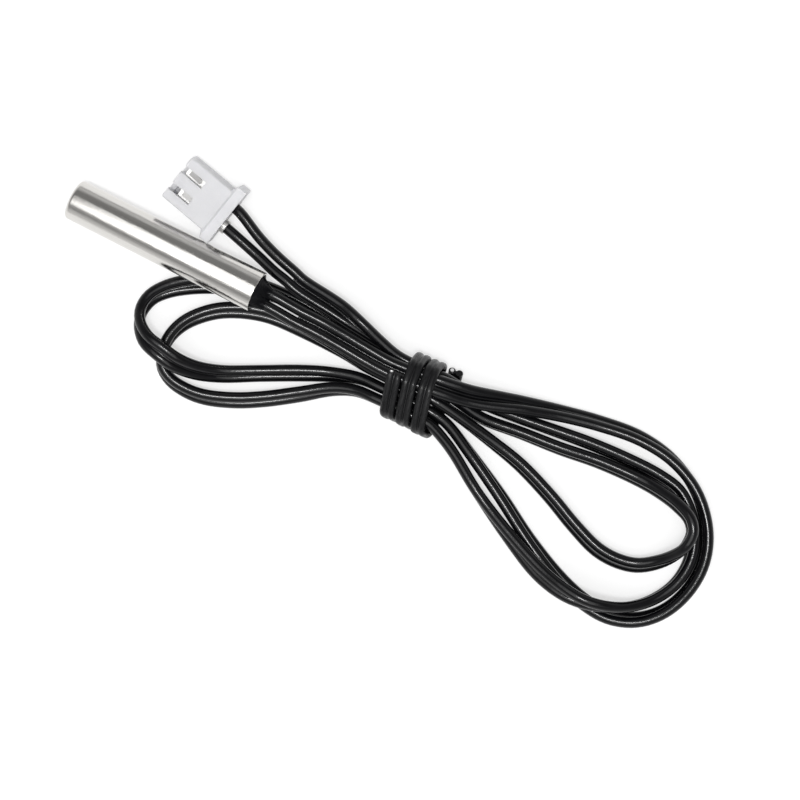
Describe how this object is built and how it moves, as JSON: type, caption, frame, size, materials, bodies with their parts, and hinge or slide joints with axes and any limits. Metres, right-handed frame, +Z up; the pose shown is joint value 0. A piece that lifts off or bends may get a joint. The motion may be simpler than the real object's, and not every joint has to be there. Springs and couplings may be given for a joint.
{
  "type": "thermistor probe",
  "caption": "Bead thermistor potted in a closed steel sleeve, on a thin black twin lead folded into a hank, tied at its middle and ended in a white crimp connector.",
  "frame": {"origin": "on the surface the part lies on, under the middle of the sleeve with its potting", "axes": "+X from the sleeve's closed tip towards its mouth, +Z up from the surface"},
  "size_m": [0.0883, 0.0278, 0.0078],
  "materials": {
    "polished_steel": "polished, with fine drawing lines",
    "black_resin": "cast, glossy",
    "bead_glass": "glossy coating",
    "bead_wire": "plain drawn wire",
    "clear_tubing": "translucent, satin",
    "solder": "satin",
    "tinned_strands": "tinned, satin",
    "lead_pvc": "smooth extruded, semi-gloss",
    "natural_nylon": "moulded, satin",
    "tinned_contact": "bright tin plate",
    "tie_plastic": "extruded, satin",
    "tie_steel": "cut wire ends"
  },
  "bodies": {
    "root": {"probe_sleeve": "polished_steel", "potting_resin": "black_resin", "thermistor_bead": "bead_glass", "bead_wire_a": "bead_wire", "bead_wire_b": "bead_wire", "wire_tubing_a": "clear_tubing", "wire_tubing_b": "clear_tubing", "solder_joint_a": "solder", "solder_joint_b": "solder", "probe_strands_a": "tinned_strands", "probe_strands_b": "tinned_strands", "twin_lead": "lead_pvc", "connector_housing": "natural_nylon", "crimp_contact_a": "tinned_contact", "crimp_contact_b": "tinned_contact", "plug_strands_a": "tinned_strands", "plug_strands_b": "tinned_strands", "tie_ribbon": "tie_plastic", "tie_wire": "tie_steel"}
  },
  "joints": []
}
